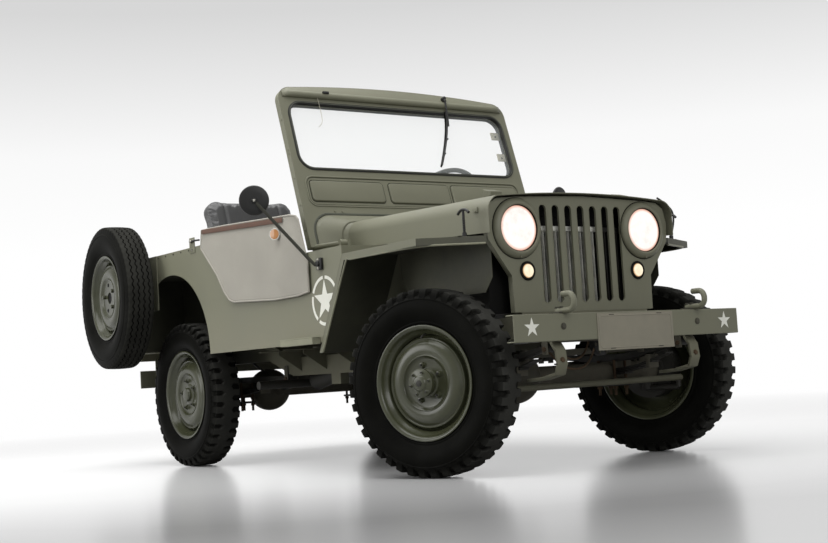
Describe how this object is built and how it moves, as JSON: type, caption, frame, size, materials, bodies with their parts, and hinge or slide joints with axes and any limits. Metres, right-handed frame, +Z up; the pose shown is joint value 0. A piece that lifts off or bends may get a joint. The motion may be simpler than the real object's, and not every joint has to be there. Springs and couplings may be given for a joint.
{
  "type": "army 4x4 car",
  "caption": "Small open four-wheel-drive army car with folding windscreen, canvas doors, slotted grille, side-mounted spare wheel and steered front wheels.",
  "frame": {"origin": "on the ground under the middle of the overall length and width", "axes": "+X ahead, +Y to the driver's left, +Z up"},
  "size_m": [3.3921, 1.9502, 1.7498],
  "materials": {
    "paint": "dull olive paint",
    "dark_metal": "black chassis paint",
    "canvas": "light grey canvas",
    "tyre": "black rubber",
    "vinyl": "dark grey padded vinyl",
    "glass": "clear glass",
    "wood": "wood painted olive",
    "plate": "blank light grey plate",
    "red_lens": "red lens",
    "wheel_plastic": "black moulded rim"
  },
  "bodies": {
    "chassis": {"frame": "paint", "front_bumper": "paint", "tow_hooks": "paint", "rear_bumper": "paint", "radiator": "paint", "grille": "paint", "front_lamps": "paint", "fender_left": "paint", "fender_right": "paint", "cowl": "paint", "side_left": "paint", "side_right": "paint", "wheelhouses": "paint", "tub_floor": "paint", "tub_rear": "paint", "seat_frames": "paint", "steering_column": "paint", "spare_rim": "paint", "spare_bracket": "paint", "cab_controls": "dark_metal", "engine": "dark_metal", "gearbox": "dark_metal", "prop_shafts": "dark_metal", "exhaust": "dark_metal", "front_axle": "dark_metal", "rear_axle": "dark_metal", "leaf_springs": "dark_metal", "shock_absorbers": "dark_metal", "mirrors": "dark_metal", "spare_tyre": "tyre", "seat_driver": "vinyl", "seat_passenger": "vinyl", "lamp_lenses": "glass", "front_plate": "plate", "tail_lamps": "red_lens"},
    "hood": {"hood": "paint", "hood_blocks": "wood"},
    "windshield": {"windshield_frame": "paint", "windshield_glass": "glass", "wiper": "dark_metal"},
    "tailgate": {"tailgate": "paint"},
    "door_left": {"door_left": "canvas"},
    "door_right": {"door_right": "canvas"},
    "steering_wheel": {"steering_wheel": "wheel_plastic"},
    "knuckle_left": {"knuckle_left": "dark_metal"},
    "knuckle_right": {"knuckle_right": "dark_metal"},
    "tie_rod": {"tie_rod": "dark_metal"},
    "wheel_front_left": {"rim_front_left": "paint", "tyre_front_left": "tyre"},
    "wheel_front_right": {"rim_front_right": "paint", "tyre_front_right": "tyre"},
    "wheel_rear_left": {"rim_rear_left": "paint", "tyre_rear_left": "tyre"},
    "wheel_rear_right": {"rim_rear_right": "paint", "tyre_rear_right": "tyre"}
  },
  "joints": [
    {"name": "hood_open", "type": "hinge", "parent": "chassis", "child": "hood", "pos_m": [0.43, 0, 1.095], "axis": [0, -1, 0], "range_deg": [0, 100]},
    {"name": "windshield_fold", "type": "hinge", "parent": "chassis", "child": "windshield", "pos_m": [0.494, 0, 0.972], "axis": [0, -1, 0], "range_deg": [-106, 0]},
    {"name": "tailgate_drop", "type": "hinge", "parent": "chassis", "child": "tailgate", "pos_m": [-1.535, 0, 0.672], "axis": [0, -1, 0], "range_deg": [0, 90]},
    {"name": "door_left_open", "type": "hinge", "parent": "chassis", "child": "door_left", "pos_m": [0.464, 0.7423, 0.9], "axis": [0, 0, -1], "range_deg": [0, 90]},
    {"name": "door_right_open", "type": "hinge", "parent": "chassis", "child": "door_right", "pos_m": [0.464, -0.7423, 0.9], "axis": [0, 0, 1], "range_deg": [0, 50]},
    {"name": "steer_left", "type": "hinge", "parent": "chassis", "child": "knuckle_left", "pos_m": [1.125, 0.5455, 0.36], "axis": [0, 0, 1], "range_deg": [-43.3, 4.7]},
    {"name": "steer_right", "type": "hinge", "parent": "chassis", "child": "knuckle_right", "pos_m": [1.125, -0.5455, 0.36], "axis": [0, 0, 1], "range_deg": [-43.3, 4.7]},
    {"name": "tie_rod_swing", "type": "hinge", "parent": "knuckle_right", "child": "tie_rod", "pos_m": [1.26657, -0.49592, 0.276], "axis": [0, 0, 1], "range_deg": [-4.7, 43.3]},
    {"name": "steering_wheel_turn", "type": "hinge", "parent": "chassis", "child": "steering_wheel", "pos_m": [-0.09, 0.41, 1.236], "axis": [-0.788, 0, 0.6157], "range_deg": [-606.5, 66]},
    {"name": "wheel_front_left_spin", "type": "hinge", "parent": "knuckle_left", "child": "wheel_front_left", "pos_m": [1.125, 0.5455, 0.36], "axis": [-0.3305, 0.9438, 0], "continuous": true},
    {"name": "wheel_front_right_spin", "type": "hinge", "parent": "knuckle_right", "child": "wheel_front_right", "pos_m": [1.125, -0.5455, 0.36], "axis": [-0.3305, 0.9438, 0], "continuous": true},
    {"name": "wheel_rear_left_spin", "type": "hinge", "parent": "chassis", "child": "wheel_rear_left", "pos_m": [-0.907, 0.6115, 0.36], "axis": [0, 1, 0], "continuous": true},
    {"name": "wheel_rear_right_spin", "type": "hinge", "parent": "chassis", "child": "wheel_rear_right", "pos_m": [-0.907, -0.6115, 0.36], "axis": [0, 1, 0], "continuous": true}
  ],
  "couplings": [
    {"joint": "steer_right", "follows": "steer_left", "ratio": 1},
    {"joint": "tie_rod_swing", "follows": "steer_left", "ratio": -1},
    {"joint": "steering_wheel_turn", "follows": "steer_left", "ratio": 14}
  ]
}
